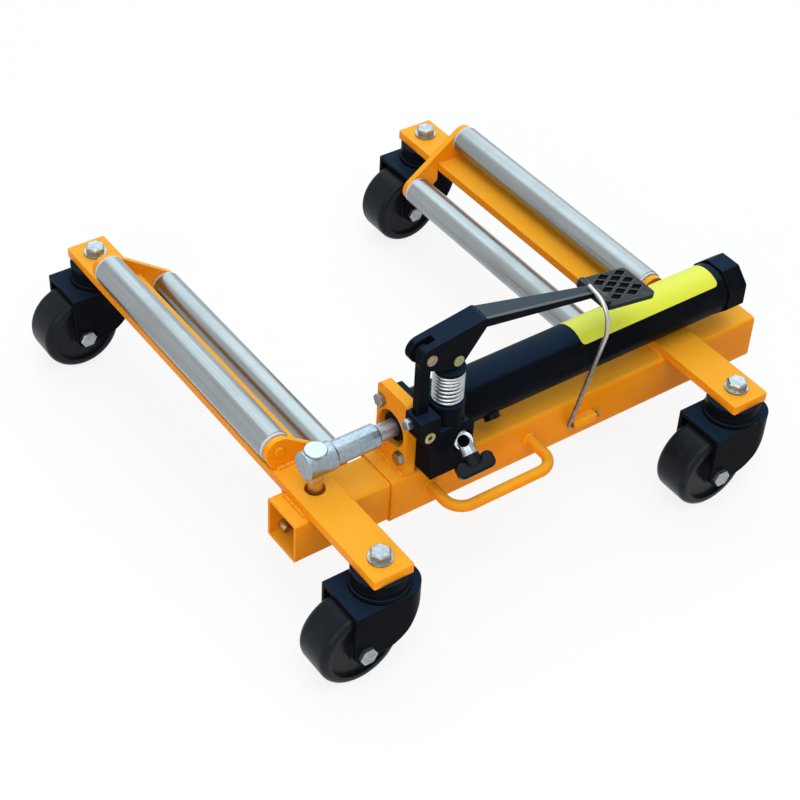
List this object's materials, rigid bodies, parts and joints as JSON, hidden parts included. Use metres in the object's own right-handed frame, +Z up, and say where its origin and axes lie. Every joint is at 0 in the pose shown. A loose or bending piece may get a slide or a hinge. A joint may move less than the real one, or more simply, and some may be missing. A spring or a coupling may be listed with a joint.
{
  "type": "hydraulic car mover",
  "caption": "Wheel dolly for moving a parked car: a foot-pumped ram pulls a sliding arm in so that two pairs of rollers lift a tyre onto four swivel casters.",
  "frame": {"origin": "on the floor below the middle of the dolly's outer box", "axes": "+X along the telescopic beam from the sliding arm to the fixed arm, +Y along the arms away from the pedal, +Z up"},
  "size_m": [0.6299, 0.6243, 0.303],
  "materials": {
    "frame_paint": "gloss orange-yellow paint",
    "black_paint": "gloss black paint",
    "chrome": "bright plated tube",
    "rod_steel": "ground steel",
    "pin_steel": "warm plated steel",
    "zinc": "bright zinc plate",
    "yellow_zinc": "yellow zinc plate",
    "bronze": "dull bronze",
    "white_bush": "white nylon",
    "wheel_nylon": "black nylon",
    "black_plastic": "black moulded plastic",
    "pad_rubber": "moulded black rubber"
  },
  "bodies": {
    "frame": {"outer_beam": "frame_paint", "fixed_arm_bar": "frame_paint", "fixed_front_plate": "frame_paint", "fixed_rear_plate": "frame_paint", "fixed_roller_axles": "frame_paint", "fixed_stem_bolts": "zinc", "fixed_arm_races": "black_paint", "carry_handle": "frame_paint", "hook_lug": "frame_paint", "ram_bracket": "frame_paint", "bracket_screws": "zinc", "pump_block": "black_paint", "link_pin": "bronze", "socket_plug": "yellow_zinc", "relief_screw": "zinc", "ram_barrel": "black_paint", "barrel_end_cap": "black_paint", "filler_plug": "black_plastic", "rod_gland": "zinc"},
    "sliding_arm": {"inner_beam": "frame_paint", "arm_packing_plate": "frame_paint", "sliding_arm_bar": "frame_paint", "sliding_front_plate": "frame_paint", "sliding_rear_plate": "frame_paint", "sliding_roller_axles": "frame_paint", "sliding_stem_bolts": "zinc", "sliding_arm_races": "black_paint", "knuckle": "chrome", "knuckle_pin": "pin_steel", "ram_rod": "rod_steel", "ram_piston": "rod_steel"},
    "sliding_outer_roller": {"sliding_outer_roller": "chrome", "sliding_outer_roller_bushes": "white_bush"},
    "sliding_inner_roller": {"sliding_inner_roller": "chrome", "sliding_inner_roller_bushes": "white_bush"},
    "fixed_outer_roller": {"fixed_outer_roller": "chrome", "fixed_outer_roller_bushes": "white_bush"},
    "fixed_inner_roller": {"fixed_inner_roller": "chrome", "fixed_inner_roller_bushes": "white_bush"},
    "front_left_caster": {"front_left_caster_fork": "black_paint", "front_left_caster_axle": "zinc"},
    "front_left_wheel": {"front_left_caster_wheel": "wheel_nylon"},
    "rear_left_caster": {"rear_left_caster_fork": "black_paint", "rear_left_caster_axle": "zinc"},
    "rear_left_wheel": {"rear_left_caster_wheel": "wheel_nylon"},
    "front_right_caster": {"front_right_caster_fork": "black_paint", "front_right_caster_axle": "zinc"},
    "front_right_wheel": {"front_right_caster_wheel": "wheel_nylon"},
    "rear_right_caster": {"rear_right_caster_fork": "black_paint", "rear_right_caster_axle": "zinc"},
    "rear_right_wheel": {"rear_right_caster_wheel": "wheel_nylon"},
    "link": {"lever_link": "black_paint"},
    "lever": {"pump_lever": "black_paint", "lever_pins": "bronze", "pedal_pad": "pad_rubber"},
    "plunger": {"pump_plunger": "rod_steel", "pump_spring": "zinc"},
    "hook": {"wire_hook": "zinc"},
    "release_valve": {"release_spindle": "zinc", "release_knob": "black_plastic"}
  },
  "joints": [
    {"name": "arm_slide", "type": "slide", "parent": "frame", "child": "sliding_arm", "axis": [1, 0, 0], "range_m": [-0.22, 0.015]},
    {"name": "sliding_outer_roller_spin", "type": "hinge", "parent": "sliding_arm", "child": "sliding_outer_roller", "pos_m": [-0.2518, 0.0505, 0.1514], "axis": [0, 1, 0], "continuous": true},
    {"name": "sliding_inner_roller_spin", "type": "hinge", "parent": "sliding_arm", "child": "sliding_inner_roller", "pos_m": [-0.1854, 0.0505, 0.103], "axis": [0, 1, 0], "continuous": true},
    {"name": "fixed_outer_roller_spin", "type": "hinge", "parent": "frame", "child": "fixed_outer_roller", "pos_m": [0.2218, 0.0505, 0.1514], "axis": [0, 1, 0], "continuous": true},
    {"name": "fixed_inner_roller_spin", "type": "hinge", "parent": "frame", "child": "fixed_inner_roller", "pos_m": [0.1554, 0.0505, 0.103], "axis": [0, 1, 0], "continuous": true},
    {"name": "front_left_swivel", "type": "hinge", "parent": "sliding_arm", "child": "front_left_caster", "pos_m": [-0.238, -0.2745, 0.1], "axis": [0, 0, 1], "continuous": true},
    {"name": "front_left_wheel_spin", "type": "hinge", "parent": "front_left_caster", "child": "front_left_wheel", "pos_m": [-0.2704, -0.2745, 0.0445], "axis": [0, 1, 0], "continuous": true},
    {"name": "rear_left_swivel", "type": "hinge", "parent": "sliding_arm", "child": "rear_left_caster", "pos_m": [-0.238, 0.2745, 0.1], "axis": [0, 0, 1], "continuous": true},
    {"name": "rear_left_wheel_spin", "type": "hinge", "parent": "rear_left_caster", "child": "rear_left_wheel", "pos_m": [-0.2704, 0.2745, 0.0445], "axis": [0, 1, 0], "continuous": true},
    {"name": "front_right_swivel", "type": "hinge", "parent": "frame", "child": "front_right_caster", "pos_m": [0.208, -0.2745, 0.1], "axis": [0, 0, 1], "continuous": true},
    {"name": "front_right_wheel_spin", "type": "hinge", "parent": "front_right_caster", "child": "front_right_wheel", "pos_m": [0.1756, -0.2745, 0.0445], "axis": [0, 1, 0], "continuous": true},
    {"name": "rear_right_swivel", "type": "hinge", "parent": "frame", "child": "rear_right_caster", "pos_m": [0.208, 0.2745, 0.1], "axis": [0, 0, 1], "continuous": true},
    {"name": "rear_right_wheel_spin", "type": "hinge", "parent": "rear_right_caster", "child": "rear_right_wheel", "pos_m": [0.1756, 0.2745, 0.0445], "axis": [0, 1, 0], "continuous": true},
    {"name": "link_swing", "type": "hinge", "parent": "frame", "child": "link", "pos_m": [-0.1429, -0.198, 0.198], "axis": [0, -1, 0], "range_deg": [0, 2.8]},
    {"name": "lever_pump", "type": "hinge", "parent": "link", "child": "lever", "pos_m": [-0.1429, -0.198, 0.2799], "axis": [0, -1, 0], "range_deg": [0, 24]},
    {"name": "plunger_slide", "type": "slide", "parent": "frame", "child": "plunger", "axis": [0, 0, 1], "range_m": [0, 0.0158], "deforming": ["pump_spring"]},
    {"name": "hook_swing", "type": "hinge", "parent": "frame", "child": "hook", "pos_m": [0.053, -0.19675, 0.091], "axis": [1, 0, 0], "range_deg": [0, 104]},
    {"name": "release_turn", "type": "hinge", "parent": "frame", "child": "release_valve", "pos_m": [-0.1015, -0.215, 0.164], "axis": [0, -0.7986, -0.6018], "range_deg": [0, 270]}
  ],
  "couplings": [
    {"joint": "link_swing", "follows": "lever_pump", "ratio": 0.113},
    {"joint": "plunger_slide", "follows": "lever_pump", "m_per_rad": 0.03705},
    {"joint": "hook_swing", "follows": "lever_pump", "ratio": 4.3}
  ]
}
